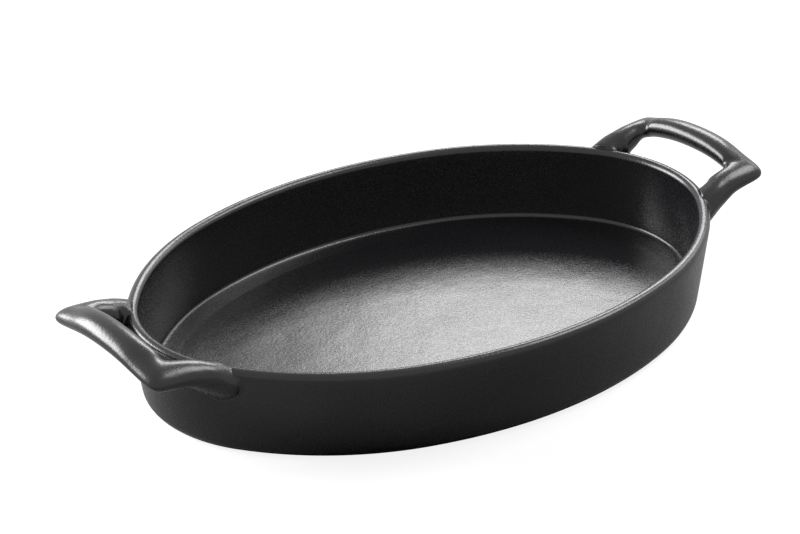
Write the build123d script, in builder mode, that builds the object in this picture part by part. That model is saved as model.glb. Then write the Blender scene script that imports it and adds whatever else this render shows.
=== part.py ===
from build123d import *
import math
import os

# Oval gratin dish with two looped handles, in millimetres.
# The origin is on the table, under the middle of the dish. +X runs along the dish towards a
# handle and +Z is up. The plan is an oval of twelve tangent arcs, three to a quarter, so that
# every inset of it is made of arcs too.

# Plan of the rim, measured over its outer edge. The two angles say where the arcs change.
rim_length = 308.0
rim_width = 216.0
end_radius = 73.0
shoulder_angle = 35.0
side_angle = 70.0

# Wall section, from the table up
dish_height = 44.5
wall_lean = 5.4
rim_thickness = 6.2
rim_round = 3.0
foot_edge_radius = 6.0

# Inside of the dish: the steep wall ends in a tight crease, then a shallow cove runs to the floor
crease_inset = 8.8
crease_height = 6.3
crease_radius = 2.2
cove_width = 20.0
floor_height = 4.8

# Unglazed foot ring under the dish
foot_ring_width = 9.0
foot_recess = 0.7
recess_radius = 0.4

# Handle grip, the bar that the fingers close on
grip_reach = 16.9
grip_bow = 1.4
grip_lift = 4.4
grip_arch = 6.0
grip_width = 14.6
grip_depth = 11.2
grip_end_width = 15.6
grip_end_depth = 9.0

# Rounded corners between the grip and the legs
corner_width = 15.8
corner_depth = 8.6

# Handle legs, from the corners down to the wall
leg_spacing = 74.4
leg_width = 14.0
leg_depth = 8.8
shoulder_run = 12.0
shoulder_drop = 1.7
shoulder_width = 14.6
shoulder_depth = 11.4
neck_run = 22.0
neck_drop = 5.4
neck_width = 17.0
neck_depth = 13.6
root_run = 31.0
root_drop = 10.6
root_width = 22.0
root_depth = 15.6
buried_run = 38.0
buried_drop = 16.6

# The oval's arc centres and its other two radii, so that three arcs fill each quarter
half_length = rim_length / 2
half_width = rim_width / 2
shoulder_cos = math.cos(math.radians(shoulder_angle))
shoulder_sin = math.sin(math.radians(shoulder_angle))
side_cos = math.cos(math.radians(side_angle))
side_sin = math.sin(math.radians(side_angle))
span_x = half_length - end_radius * (1 - shoulder_cos)
span_y = half_width - end_radius * shoulder_sin
shoulder_sweep = side_angle - shoulder_angle
turn_x = shoulder_cos - side_cos
turn_y = side_sin - shoulder_sin
turn_area = turn_x * (1 - side_sin) - turn_y * side_cos
shoulder_radius = (span_x * (1 - side_sin) - span_y * side_cos) / turn_area
side_radius = (span_y * turn_x - span_x * turn_y) / turn_area
end_centre = half_length - end_radius
side_centre = half_width - side_radius
shoulder_x = end_centre - (shoulder_radius - end_radius) * shoulder_cos
shoulder_y = -(shoulder_radius - end_radius) * shoulder_sin


def oval(inset):
    """The rim's oval, drawn the given distance inside its outer edge, from +X round to +X."""
    with BuildLine() as line:
        CenterArc((end_centre, 0), end_radius - inset, 0, shoulder_angle)
        CenterArc((shoulder_x, shoulder_y), shoulder_radius - inset, shoulder_angle, shoulder_sweep)
        CenterArc((0, side_centre), side_radius - inset, side_angle, 90 - side_angle)
        mirror(about=Plane.YZ)
        mirror(about=Plane.XZ)
    return line.wire()


# Wall section in the XZ plane, at the +X end of the rim. The leaning wall's top corner lies just
# outside the oval, so that the rounded rim comes out on it.
wall_angle = math.atan2(wall_lean, dish_height)
rim_x = half_length + rim_round * (1 / math.cos(wall_angle) + math.tan(wall_angle) - 1)
foot_x = half_length - wall_lean
crease_x = half_length - crease_inset
cove_x = crease_x - cove_width
ring_x = foot_x - foot_edge_radius - foot_ring_width
band_x = cove_x - foot_ring_width
cove_rise = crease_height - floor_height
cove_radius = (cove_width**2 + cove_rise**2) / (2 * cove_rise)

# Each rounded corner of the wall section, and its radius
corner_radii = {
    (rim_x, dish_height): rim_round,
    (rim_x - rim_thickness, dish_height): rim_round,
    (foot_x, 0): foot_edge_radius,
    (ring_x, 0): recess_radius,
    (crease_x, crease_height): crease_radius,
}

with BuildSketch(Plane.XZ) as wall_section:
    with BuildLine():
        Polyline(
            (cove_x, floor_height),
            (band_x, floor_height),
            (band_x, foot_recess),
            (ring_x, foot_recess),
            (ring_x, 0),
            (foot_x, 0),
            (rim_x, dish_height),
            (rim_x - rim_thickness, dish_height),
            (crease_x, crease_height),
        )
        RadiusArc((crease_x, crease_height), (cove_x, floor_height), cove_radius)
    make_face()
    for corner, radius in corner_radii.items():
        fillet(wall_section.vertices().sort_by_distance(corner)[0], radius)

# The dish: its wall section swept once round the oval, and the floor that closes the middle
with BuildPart() as dish_body:
    sweep(sections=wall_section.sketch, path=oval(0))
    with BuildSketch(Plane.XY.offset(foot_recess)):
        with BuildLine():
            add(oval(half_length - band_x))
        make_face()
    extrude(amount=floor_height - foot_recess)

# The room inside the dish, filled up to the crown of the rim and above it. It only trims the
# handles' roots.
with BuildPart() as filling:
    with BuildSketch():
        with BuildLine():
            add(oval(rim_thickness / 2))
        make_face()
    extrude(amount=dish_height + grip_lift + grip_arch + grip_depth)

# Grip: a bar bowed outwards and arched upwards, between two rounded corners
corner_x = half_length + grip_reach
corner_y = leg_spacing / 2
corner_z = dish_height + grip_lift
grip_shares = [1, 0.5, 0, -0.5, -1]

# Leg sections from inside the wall out to the corner: run, drop, width and depth
leg_sections = [
    (buried_run, buried_drop, root_width, root_depth),
    (root_run, root_drop, root_width, root_depth),
    (neck_run, neck_drop, neck_width, neck_depth),
    (shoulder_run, shoulder_drop, shoulder_width, shoulder_depth),
    (0, 0, leg_width, leg_depth),
]


def leg_plane(run, drop):
    """The plane across the +Y leg, placed from the corner that it meets the grip in."""
    return Plane(origin=(corner_x - run, corner_y, corner_z - drop), x_dir=(0, 1, 0), z_dir=(1, 0, 0))


def grip_plane(share):
    """The plane across the grip at a share of the way from its middle to its corner."""
    rise = 1 - share**2
    return Plane(
        origin=(corner_x + grip_bow * rise, share * corner_y, corner_z + grip_arch * rise),
        x_dir=(1, 0, 0),
        z_dir=(0, -1, 0),
    )


# The shapes that a handle is put together from: the grip, one leg and a rounded corner
with BuildPart() as grip:
    for share in grip_shares:
        width = grip_width + (grip_end_width - grip_width) * share**2
        depth = grip_depth + (grip_end_depth - grip_depth) * share**2
        with BuildSketch(grip_plane(share)):
            Ellipse(width / 2, depth / 2)
    loft()

with BuildPart() as leg:
    for run, drop, width, depth in leg_sections:
        with BuildSketch(leg_plane(run, drop)):
            Ellipse(width / 2, depth / 2)
    loft()

with BuildPart() as corner:
    Sphere(corner_width / 2)
    scale(by=(1, 1, corner_depth / corner_width))

# Right handle: the grip between its two corners and legs, trimmed by the dish that it sits on
with BuildPart() as handle_right:
    add(grip.part)
    add(leg.part)
    mirror(leg.part, about=Plane.XZ)
    with Locations((corner_x, corner_y, corner_z), (corner_x, -corner_y, corner_z)):
        add(corner.part)
    add(filling.part, mode=Mode.SUBTRACT)
    add(dish_body.part, mode=Mode.SUBTRACT)

with BuildPart() as handle_left:
    mirror(handle_right.solids(), about=Plane.YZ)

os.makedirs("parts", exist_ok=True)
dish_body.part.label = "dish_body"
export_step(dish_body.part, "parts/dish_body.step")
handle_right.part.label = "handle_right"
export_step(handle_right.part, "parts/handle_right.step")
handle_left.part.label = "handle_left"
export_step(handle_left.part, "parts/handle_left.step")
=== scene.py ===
# %% [markdown]
# # An oval gratin dish in a near-black satin glaze
# This lesson dresses a finished CAD part. The CAD model holds the true sizes of three pieces: the
# bowl and the two looped handles. Here each piece gets the surface that an eye would see: the soft
# edges of cast clay, the legs that flow into the wall, and the glaze. The pieces stay three,
# because the handles are formed apart and stuck on with slip before the dish is fired.

# %% Load the CAD frame
import math

import bmesh
import bpy
from mathutils import Matrix, Vector
from mathutils.bvhtree import BVHTree


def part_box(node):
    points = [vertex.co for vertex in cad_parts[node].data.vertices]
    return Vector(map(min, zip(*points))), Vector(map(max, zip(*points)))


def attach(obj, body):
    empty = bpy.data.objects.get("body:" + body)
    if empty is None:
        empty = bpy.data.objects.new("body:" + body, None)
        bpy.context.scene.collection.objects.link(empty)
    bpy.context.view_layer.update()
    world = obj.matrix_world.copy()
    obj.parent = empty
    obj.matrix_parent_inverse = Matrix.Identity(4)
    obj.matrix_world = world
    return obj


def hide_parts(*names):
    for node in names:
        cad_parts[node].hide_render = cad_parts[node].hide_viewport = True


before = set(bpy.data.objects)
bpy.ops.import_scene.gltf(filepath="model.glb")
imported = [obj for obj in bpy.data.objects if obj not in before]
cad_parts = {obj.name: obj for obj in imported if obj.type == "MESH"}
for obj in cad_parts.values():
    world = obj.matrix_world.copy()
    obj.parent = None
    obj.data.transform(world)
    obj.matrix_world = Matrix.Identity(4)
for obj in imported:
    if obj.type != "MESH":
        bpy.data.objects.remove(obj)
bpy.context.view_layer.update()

MM = 0.001
body_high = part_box("dish_body")[1]
half_length = body_high.x
half_width = body_high.y
rim_height = body_high.z
rim_size = f"{2 * half_length / MM:.1f} by {2 * half_width / MM:.1f} mm"
print(f"rim {rim_size}, {rim_height / MM:.1f} mm high")

# %% [markdown]
# ## The plan of the rim
# The rim isn't an ellipse. It is drawn the way a pattern maker draws an oval: three tangent arcs to
# a quarter, tight at the ends and flat along the sides. Such an oval has a great advantage over an
# ellipse: a line drawn at a steady distance inside it is made of arcs too, so a wall of steady
# thickness is easy to make. The end radius and the two angles are given, and the other two radii
# follow from the length and the width.

# %% The oval's arcs
end_radius = 73 * MM
shoulder_angle = math.radians(35)
side_angle = math.radians(70)

span_x = half_length - end_radius * (1 - math.cos(shoulder_angle))
span_y = half_width - end_radius * math.sin(shoulder_angle)
turn_x = math.cos(shoulder_angle) - math.cos(side_angle)
turn_y = math.sin(side_angle) - math.sin(shoulder_angle)
rest_y = 1 - math.sin(side_angle)
turn_area = turn_x * rest_y - turn_y * math.cos(side_angle)
shoulder_radius = (span_x * rest_y - span_y * math.cos(side_angle)) / turn_area
side_radius = (span_y * turn_x - span_x * turn_y) / turn_area

end_centre = Vector((half_length - end_radius, 0, 0))
shoulder_centre = end_centre - (shoulder_radius - end_radius) * Vector(
    (math.cos(shoulder_angle), math.sin(shoulder_angle), 0)
)
side_centre = Vector((0, half_width - side_radius, 0))
print(f"arc radii {end_radius / MM:.1f}, {shoulder_radius / MM:.1f} and {side_radius / MM:.1f} mm")


def oval(angle, inset=0.0):
    """The point on the rim's oval, or inside it, that faces outwards at this angle from +X."""
    direction = Vector((math.cos(angle), math.sin(angle), 0))
    quarter = math.atan2(abs(direction.y), abs(direction.x))
    centre, radius = end_centre, end_radius
    if quarter > shoulder_angle:
        centre, radius = shoulder_centre, shoulder_radius
    if quarter > side_angle:
        centre, radius = side_centre, side_radius
    point = centre + (radius - inset) * Vector((math.cos(quarter), math.sin(quarter), 0))
    return Vector((math.copysign(point.x, direction.x), math.copysign(point.y, direction.y), 0))


# %% [markdown]
# ## The wall, turned like a pot and pressed to the oval
# A potter's way is the short one here. A round bowl is turned by spinning one section about the
# upright axis. Then every point is pressed to the oval: its distance from the rim is kept, and its
# direction from the axis becomes the direction square to the oval. Extruding ring after ring would
# give the same mesh with more lines. The section is drawn as a polygon, and its corners are rounded
# with the radii that clay and glaze leave.

# %% The section of the wall
wall_lean = 5.4 * MM
rim_thickness = 6.2 * MM
rim_round = 3.0 * MM
foot_round = 6.0 * MM
crease_inset = 8.8 * MM
crease_height = 6.3 * MM
crease_round = 2.2 * MM
cove_width = 20 * MM
cove_bow = 0.45 * MM
cove_round = 16 * MM
floor_height = 4.8 * MM
foot_ring_width = 9 * MM
foot_recess = 0.7 * MM
recess_round = 0.5 * MM
corner_steps = 9

wall_angle = math.atan2(wall_lean, rim_height)
rim_flare = rim_round * (1 / math.cos(wall_angle) + math.tan(wall_angle) - 1)
foot_inset = wall_lean + foot_round
cove_inset = crease_inset + cove_width


def rounded(corners, steps):
    """The outline through these corners, each an inset, a height and a radius to round it to."""
    points = []
    for number, (inset, height, radius) in enumerate(corners):
        corner = Vector((inset, height))
        if radius == 0:
            points.append(corner)
            continue
        back = (Vector(corners[number - 1][:2]) - corner).normalized()
        ahead = (Vector(corners[number + 1][:2]) - corner).normalized()
        half_turn = back.angle(ahead) / 2
        centre = corner + (back + ahead).normalized() * radius / math.sin(half_turn)
        start = (corner + back * radius / math.tan(half_turn) - centre) / radius
        end = (corner + ahead * radius / math.tan(half_turn) - centre) / radius
        points += [centre + radius * start.slerp(end, step / steps) for step in range(steps + 1)]
    return points


cove_middle = (crease_inset + cove_inset) / 2
section = rounded(
    [
        (cove_inset, floor_height, 0),
        (cove_middle, (floor_height + crease_height) / 2 - cove_bow, cove_round),
        (crease_inset, crease_height, crease_round),
        (rim_thickness - rim_flare, rim_height, rim_round),
        (-rim_flare, rim_height, rim_round),
        (wall_lean, 0, foot_round),
        (foot_inset + foot_ring_width, 0, recess_round),
        (foot_inset + foot_ring_width, foot_recess, recess_round),
        (cove_inset, foot_recess, 0),
    ],
    corner_steps,
)
print(len(section), "points in the section")

# %% Turn the section and press it to the oval
around_steps = 288
wall_rows = 7
floor_shares = [0.88, 0.84, 0.78, 0.68, 0.5]
same_height = 0.01 * MM


def pressed(point):
    """The place in the oval dish of a point of the round one."""
    angle = math.atan2(point.y, point.x)
    inset = half_length - math.hypot(point.x, point.y)
    return oval(angle, inset) + Vector((0, 0, point.z))


def new_piece(name, bm):
    """A smooth-shaded object at the origin from this bmesh."""
    mesh = bpy.data.meshes.new(name)
    bm.to_mesh(mesh)
    bm.free()
    mesh.shade_smooth()
    piece = bpy.data.objects.new(name, mesh)
    bpy.context.scene.collection.objects.link(piece)
    print(name, len(mesh.vertices), "points,", len(mesh.polygons), "faces")
    return piece


def turned_dish():
    """The bowl: its section spun round, pressed to the oval and closed over floor and foot."""
    bm = bmesh.new()
    points = [bm.verts.new((half_length - inset, 0, height)) for inset, height in section]
    edges = [bm.edges.new(pair) for pair in zip(points, points[1:])]
    long_edges = [edge for edge in edges if edge.calc_length() > rim_thickness]
    bmesh.ops.subdivide_edges(bm, edges=long_edges, cuts=wall_rows)
    bmesh.ops.spin(
        bm, geom=bm.verts[:] + bm.edges[:], axis=(0, 0, 1), cent=(0, 0, 0),
        angle=math.tau, steps=around_steps, use_merge=True,
    )
    for vert in bm.verts:
        vert.co = pressed(vert.co)
    for height in (floor_height, foot_recess):
        open_edges = [edge for edge in bm.edges if edge.is_boundary]
        ring = [edge for edge in open_edges if abs(edge.verts[0].co.z - height) < same_height]
        for share in floor_shares:
            grown = bmesh.ops.extrude_edge_only(bm, edges=ring)["geom"]
            new_edges = [item for item in grown if isinstance(item, bmesh.types.BMEdge)]
            ring = [edge for edge in new_edges if edge.is_boundary]
            verts = list({vert for edge in ring for vert in edge.verts})
            bmesh.ops.scale(bm, vec=(share, share, 1), verts=verts)
        bmesh.ops.contextual_create(bm, geom=ring)
    bmesh.ops.recalc_face_normals(bm, faces=bm.faces[:])
    return new_piece("dish_bowl", bm)


bowl = turned_dish()

# %% [markdown]
# ## The handles, drawn out ring by ring
# Each handle is one bar of soft clay, bent into a loop and pressed onto the wall. A rough cage of
# twelve-sided rings is enough: a Subdivision Surface modifier turns it into a smooth bar, the way
# wet fingers would. Only half a loop is drawn, from the middle of the grip round the corner to the
# wall, and it is mirrored. A curve with a bevel would be shorter, but its section can't change
# from a flat grip to a deep root, and its end can't spread over the wall.

# %% The stations of half a loop
# Lengths are in millimetres and angles in degrees. Each station: the ring's middle (x, y, z), the
# direction its outer side faces in plan, its width and depth, how far its outer edge is tipped
# down, and how much thinner its outer edge is than its inner one.
ring_sides = 12
stations = [
    ((171.9, 0.0, 54.7), 0, 14.6, 10.9, 6, 0.10),
    ((171.8, 11.0, 54.3), 0, 14.6, 10.9, 6, 0.10),
    ((171.6, 20.0, 53.1), 0, 14.7, 10.7, 6, 0.12),
    ((171.1, 27.0, 51.6), 0, 15.0, 10.2, 7, 0.16),
    ((170.7, 32.5, 50.0), 31, 17.2, 9.8, 8, 0.15),
    ((169.5, 36.1, 49.0), 45, 19.3, 9.8, 8, 0.08),
    ((165.8, 37.1, 48.2), 57, 17.0, 10.3, 8, 0.14),
    ((159.8, 37.2, 46.7), 88, 14.2, 11.9, 8, 0.14),
    ((155.6, 37.2, 45.2), 92, 14.8, 13.4, 8, 0.10),
    ((151.8, 37.2, 43.3), 98, 15.8, 15.2, 8, 0.08),
    ((148.4, 37.3, 41.4), 108, 17.6, 16.8, 6, 0.04),
]

# The root on the wall: its middle aside of the axis and up, its size across and upright, its tilt,
# and for each ring its share of that size and its height over the wall.
root_middle = (37.6, 37.0)
root_size = (24.0, 18.6)
root_tilt = math.radians(20)
root_rings = [(0.84, 2.3), (0.94, 0.9), (1.04, 0.28), (1.13, -0.05), (1.2, -0.6)]

handle_levels = 3
seam_gap = 0.2 * MM
push_rounds = 1

bowl_surface = BVHTree.FromObject(bowl, bpy.context.evaluated_depsgraph_get())
upright = Vector((0, 0, 1))


def ring(bm, middle, across, upward, thinning):
    """A ring of edges about the middle, thinner on the side that across points to."""
    columns = Matrix((across, upward, across.cross(upward).normalized())).transposed().to_4x4()
    matrix = Matrix.Translation(middle) @ columns
    verts = bmesh.ops.create_circle(bm, cap_ends=False, segments=ring_sides, radius=1)["verts"]
    for vert in verts:
        vert.co.y *= 1 - thinning * vert.co.x
    bmesh.ops.transform(bm, matrix=matrix, verts=verts)
    return verts, list({edge for vert in verts for edge in vert.link_edges})


def station_ring(bm, middle, facing, width, depth, tip, thinning):
    """The ring of one station, from its row of numbers."""
    facing, tip = math.radians(facing), math.radians(tip)
    out = Vector((math.cos(facing), math.sin(facing), 0))
    across = (out * math.cos(tip) - upright * math.sin(tip)) * width / 2 * MM
    upward = (out * math.sin(tip) + upright * math.cos(tip)) * depth / 2 * MM
    return ring(bm, Vector(middle) * MM, across, upward, thinning)


def root_ring(bm, share, lift):
    """A ring laid on the wall and the crown of the rim, a share of the root's full size."""
    aside, height = root_middle
    facing = math.asin(aside * MM / end_radius)
    away = Vector((math.cos(facing), math.sin(facing), 0))
    across = upright.cross(away) * root_size[0] / 2 * share * MM
    lean = upright * math.cos(root_tilt) - away * math.sin(root_tilt)
    upward = lean * root_size[1] / 2 * share * MM
    verts, edges = ring(bm, oval(facing) + upright * height * MM, across, upward, 0)
    for vert in verts:
        place, normal, _, _ = bowl_surface.find_nearest(vert.co)
        vert.co = place + normal * lift * MM
    return verts, edges


# %% [markdown]
# ## From rings to a bar
# Neighbouring rings are bridged, and the last ones are laid on the wall, so that the leg spreads
# over it as soft clay does under a thumb. Smoothing shrinks a cage at its corners, as sanding
# would, so the cage is swelled once by what it would lose.

# %% Bridge the rings and let the smoothing land near them
def half_loop():
    """The cage of half a handle, from the middle of the grip to the wall."""
    bm = bmesh.new()
    rings = [station_ring(bm, *station)[1] for station in stations]
    rings += [root_ring(bm, share, lift)[1] for share, lift in root_rings]
    for before, after in zip(rings, rings[1:]):
        bmesh.ops.bridge_loops(bm, edges=before + after)
    return bm


def smoothed_place(vert):
    """Where the Subdivision Surface takes this point, by the limit rule for four neighbours."""
    edge_sum = sum((edge.other_vert(vert).co for edge in vert.link_edges), Vector())
    face_sum = sum((face.calc_center_median() * 4 for face in vert.link_faces), Vector())
    corner_sum = face_sum - 4 * vert.co - 2 * edge_sum
    return (16 * vert.co + 4 * edge_sum + corner_sum) / 36


def push_out(bm, rounds):
    """Swells the cage so that its smoothed surface runs close to the rings as they were drawn."""
    inner = [vert for vert in bm.verts if not vert.is_boundary]
    goals = [vert.co.copy() for vert in inner]
    for _ in range(rounds):
        moves = [goal - smoothed_place(vert) for vert, goal in zip(inner, goals)]
        for vert, move in zip(inner, moves):
            vert.co += move
    print(f"largest miss {max(move.length for move in moves) / MM:.3f} mm")


def handle(name, turned):
    """A whole handle, at the +X end or turned round to the other one."""
    bm = half_loop()
    drawn = bm.verts[:] + bm.edges[:] + bm.faces[:]
    bmesh.ops.mirror(bm, geom=drawn, axis="Y", merge_dist=seam_gap)
    push_out(bm, push_rounds)
    if turned:
        half_turn = Matrix.Rotation(math.pi, 3, "Z")
        bmesh.ops.rotate(bm, cent=(0, 0, 0), matrix=half_turn, verts=bm.verts[:])
    open_edges = [edge for edge in bm.edges if edge.is_boundary]
    bmesh.ops.holes_fill(bm, edges=open_edges, sides=ring_sides)
    bmesh.ops.recalc_face_normals(bm, faces=bm.faces[:])
    piece = new_piece(name, bm)
    smooth = piece.modifiers.new("smooth", "SUBSURF")
    smooth.levels = handle_levels
    smooth.render_levels = handle_levels
    return piece


loops = {"handle_right": handle("loop_right", False), "handle_left": handle("loop_left", True)}

# %% [markdown]
# ## The glaze
# A near-black satin glaze is a thin coat of glass with fine crystals in it. It hardly has a colour:
# what the eye reads is the sheen, and how it breaks up. So the base colour is almost black with a
# little drift, the roughness wanders, and three bumps shape the light: a slow waviness from the
# casting, the orange peel of the glaze, and its fine grain. All of it reads Object coordinates, so
# it stays on the clay in every view.

# %% Helpers for materials
def tree(name):
    """A new material, with its nodes, links and shader."""
    material = bpy.data.materials.new(name)
    material.use_nodes = True
    nodes = material.node_tree.nodes
    return material, nodes, material.node_tree.links, nodes["Principled BSDF"]


def noise(nodes, links, coords, per_metre, detail, roughness=0.5):
    """Noise of about this many waves to the metre, on the clay's own coordinates."""
    texture = nodes.new("ShaderNodeTexNoise")
    texture.inputs["Scale"].default_value = per_metre
    texture.inputs["Detail"].default_value = detail
    texture.inputs["Roughness"].default_value = roughness
    links.new(coords.outputs["Object"], texture.inputs["Vector"])
    return texture.outputs["Fac"]


def spread(nodes, links, value, low, high, to_low, to_high):
    """The value stretched from one range to another."""
    remap = nodes.new("ShaderNodeMapRange")
    remap.inputs["From Min"].default_value = low
    remap.inputs["From Max"].default_value = high
    remap.inputs["To Min"].default_value = to_low
    remap.inputs["To Max"].default_value = to_high
    links.new(value, remap.inputs["Value"])
    return remap.outputs["Result"]


def bump(nodes, links, height, distance, below=None):
    """A bump of this depth in metres, on top of another one if given."""
    node = nodes.new("ShaderNodeBump")
    node.inputs["Strength"].default_value = 1
    node.inputs["Distance"].default_value = distance
    links.new(height, node.inputs["Height"])
    if below is not None:
        links.new(below, node.inputs["Normal"])
    return node.outputs["Normal"]


def mixed_colour(nodes, links, share, colour_a, colour_b):
    """A drift between two colours."""
    mix = nodes.new("ShaderNodeMix")
    mix.data_type = "RGBA"
    mix.inputs["A"].default_value = (*colour_a, 1)
    mix.inputs["B"].default_value = (*colour_b, 1)
    links.new(share, mix.inputs["Factor"])
    return mix.outputs["Result"]


# %% The glaze and the bare foot
cool_black = (0.0036, 0.0038, 0.0052)
warm_black = (0.0066, 0.0067, 0.0078)
dark_clay = (0.42, 0.36, 0.29)
light_clay = (0.56, 0.50, 0.42)
glaze_ior = 1.48
glaze_roughness = (0.22, 0.31)
clay_roughness = (0.8, 0.95)

# The bumps' depths are in metres, and the noises count their waves to the metre. Noise keeps to
# the middle of its range, so that middle is stretched.
wave_depth = 0.00035
peel_depth = 0.00006
grain_depth = 0.000016
clay_depth = 0.00006
drift_waves = 22
sheen_waves = 900
slow_waves = 38
peel_waves = 620
grain_waves = 1900
clay_waves = 1500
drift_range = (0.35, 0.65)
noise_range = (0.3, 0.7)


def satin_glaze():
    """The near-black glaze: a drifting colour, a wandering sheen and three bumps."""
    material, nodes, links, shader = tree("satin_black_glaze")
    coords = nodes.new("ShaderNodeTexCoord")
    drift = spread(nodes, links, noise(nodes, links, coords, drift_waves, 3), *drift_range, 0, 1)
    tone = mixed_colour(nodes, links, drift, cool_black, warm_black)
    links.new(tone, shader.inputs["Base Color"])
    sheen = noise(nodes, links, coords, sheen_waves, 3, 0.6)
    roughness = spread(nodes, links, sheen, *noise_range, *glaze_roughness)
    links.new(roughness, shader.inputs["Roughness"])
    shader.inputs["IOR"].default_value = glaze_ior
    wave = bump(nodes, links, noise(nodes, links, coords, slow_waves, 2), wave_depth)
    peel = bump(nodes, links, noise(nodes, links, coords, peel_waves, 2, 0.55), peel_depth, wave)
    grain = bump(nodes, links, noise(nodes, links, coords, grain_waves, 1), grain_depth, peel)
    links.new(grain, shader.inputs["Normal"])
    return material


def bare_clay():
    """The unglazed clay of the foot: matt and grainy."""
    material, nodes, links, shader = tree("bare_fired_clay")
    coords = nodes.new("ShaderNodeTexCoord")
    grain = noise(nodes, links, coords, clay_waves, 4, 0.7)
    share = spread(nodes, links, grain, *noise_range, 0, 1)
    tone = mixed_colour(nodes, links, share, dark_clay, light_clay)
    links.new(tone, shader.inputs["Base Color"])
    roughness = spread(nodes, links, grain, *noise_range, *clay_roughness)
    links.new(roughness, shader.inputs["Roughness"])
    links.new(bump(nodes, links, grain, clay_depth), shader.inputs["Normal"])
    return material


glaze = satin_glaze()
clay = bare_clay()

# The foot ring is bare: the faces that look down and lie on the table, or as good as on it.
foot_level = 0.12 * MM
downward = -0.9
for piece in (bowl, *loops.values()):
    piece.data.materials.append(glaze)
bowl.data.materials.append(clay)
for face in bowl.data.polygons:
    if face.center.z < foot_level and face.normal.z < downward:
        face.material_index = 1
print("bare faces under the foot:", sum(face.material_index for face in bowl.data.polygons))

# %% Tie the pieces to the frame
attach(bowl, "root")
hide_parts("dish_body")
for node, piece in loops.items():
    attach(piece, "root")
    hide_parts(node)

# %% [markdown]
# ## Floor, light and camera
# A dark glossy thing is lit by what it mirrors. The room here is a pale table and a pale world with
# four softboxes. The floor of the dish mirrors the one behind it, and the handles mirror the wide
# one behind to the left. A high one at the right end and a weak low one beside it bring out the
# crease, the rim and the cove.

# %% The floor and the world
floor_size = 6
floor_white = 0.86
table_colour = (0.6, 0.6, 0.6)
table_roughness = 0.9
shadow_colour = (0.3, 0.3, 0.3)
world_light = 0.06
world_white = 1.0


def pale_floor():
    """The table: white for the camera, with a faint shadow, and plain pale for the light."""
    bm = bmesh.new()
    bmesh.ops.create_grid(bm, x_segments=1, y_segments=1, size=floor_size / 2)
    floor = new_piece("table", bm)
    material, nodes, links, shader = tree("pale_table")
    shader.inputs["Base Color"].default_value = (*table_colour, 1)
    shader.inputs["Roughness"].default_value = table_roughness
    shader.inputs["Specular IOR Level"].default_value = 0
    faint = nodes.new("ShaderNodeBsdfDiffuse")
    faint.inputs["Color"].default_value = (*shadow_colour, 1)
    white = nodes.new("ShaderNodeEmission")
    white.inputs["Strength"].default_value = floor_white
    seen = nodes.new("ShaderNodeAddShader")
    links.new(faint.outputs[0], seen.inputs[0])
    links.new(white.outputs[0], seen.inputs[1])
    path = nodes.new("ShaderNodeLightPath")
    choose = nodes.new("ShaderNodeMixShader")
    links.new(path.outputs["Is Camera Ray"], choose.inputs[0])
    links.new(shader.outputs[0], choose.inputs[1])
    links.new(seen.outputs[0], choose.inputs[2])
    links.new(choose.outputs[0], nodes["Material Output"].inputs["Surface"])
    floor.data.materials.append(material)
    return floor


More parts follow.
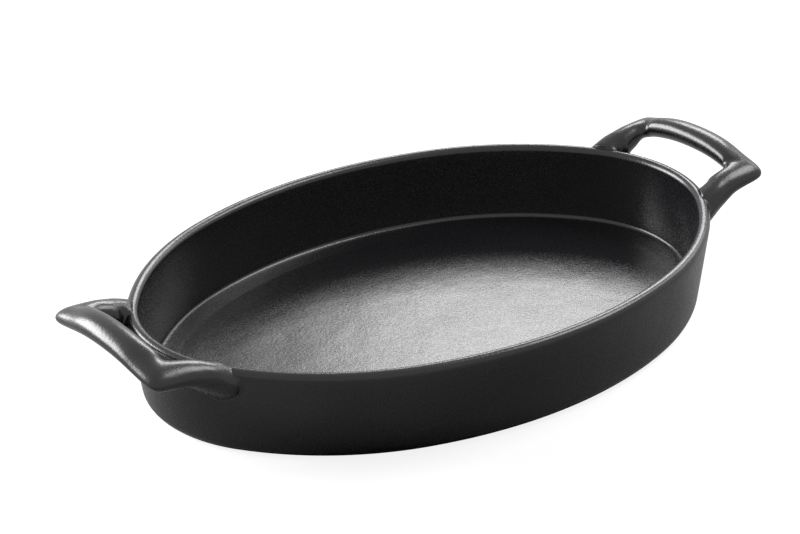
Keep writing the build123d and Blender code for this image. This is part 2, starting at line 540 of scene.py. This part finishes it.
def pale_world():
    """The room: white where it is seen or mirrored, and dim as a light."""
    world = bpy.data.worlds.new("pale_room")
    bpy.context.scene.world = world
    world.use_nodes = True
    nodes, links = world.node_tree.nodes, world.node_tree.links
    path = nodes.new("ShaderNodeLightPath")
    seen = nodes.new("ShaderNodeMath")
    seen.operation = "MAXIMUM"
    links.new(path.outputs["Is Camera Ray"], seen.inputs[0])
    links.new(path.outputs["Is Glossy Ray"], seen.inputs[1])
    both = nodes.new("ShaderNodeMath")
    both.operation = "MAXIMUM"
    links.new(seen.outputs[0], both.inputs[0])
    links.new(path.outputs["Is Transmission Ray"], both.inputs[1])
    links.new(
        spread(nodes, links, both.outputs[0], 0, 1, world_light, world_white),
        nodes["Background"].inputs["Strength"],
    )
    nodes["Background"].inputs["Color"].default_value = (1, 1, 1, 1)


table = pale_floor()
pale_world()


# %% The softboxes
def softbox(name, azimuth, elevation, distance, width, height, radiance):
    """A rectangle of light aimed at the dish, at an azimuth from +X, with a face this bright."""
    light = bpy.data.lights.new(name, "AREA")
    light.shape = "RECTANGLE"
    light.size = width
    light.size_y = height
    light.energy = radiance * math.pi * width * height
    lamp = bpy.data.objects.new(name, light)
    across, up = math.radians(azimuth), math.radians(elevation)
    away = Vector((math.cos(across) * math.cos(up), math.sin(across) * math.cos(up), math.sin(up)))
    lamp.location = away * distance
    lamp.rotation_euler = away.to_track_quat("Z", "Y").to_euler()
    bpy.context.scene.collection.objects.link(lamp)
    print(f"{name}: {width} by {height} m, {light.energy:.0f} W")


softbox("back_softbox", 43, 33, 2.0, 0.85, 0.55, 10.0)
softbox("right_softbox", 8, 28, 2.0, 0.9, 0.6, 3.0)
softbox("left_softbox", 125, 22, 2.0, 1.5, 0.9, 16.0)
softbox("key_softbox", -15, 52, 1.7, 0.7, 0.7, 9.0)

# %% The camera
# Its place, its turn and its lens are fitted to the outlines of the dish in the photograph.
camera_azimuth = math.radians(-35.82)
camera_elevation = math.radians(26.08)
camera_roll = math.radians(-1.53)
camera_distance = 1.17823
camera_aim = Vector((0.00415, 0.02852, 0.02225))
picture_width = 800
focal_pixels = 2420.8

camera_data = bpy.data.cameras.new("camera")
camera_data.lens = focal_pixels * camera_data.sensor_width / picture_width
camera = bpy.data.objects.new("camera", camera_data)
turn = (
    Matrix.Rotation(camera_azimuth, 4, "Z")
    @ Matrix.Rotation(math.radians(90) - camera_elevation, 4, "X")
    @ Matrix.Rotation(camera_roll, 4, "Z")
)
camera.matrix_world = Matrix.Translation(camera_aim + turn.col[2].xyz * camera_distance) @ turn
bpy.context.scene.collection.objects.link(camera)
bpy.context.scene.camera = camera
bpy.context.scene.view_settings.view_transform = "Standard"
print(f"lens {camera_data.lens:.1f} mm at {camera_distance} m")

# %% Finish
bpy.context.view_layer.update()
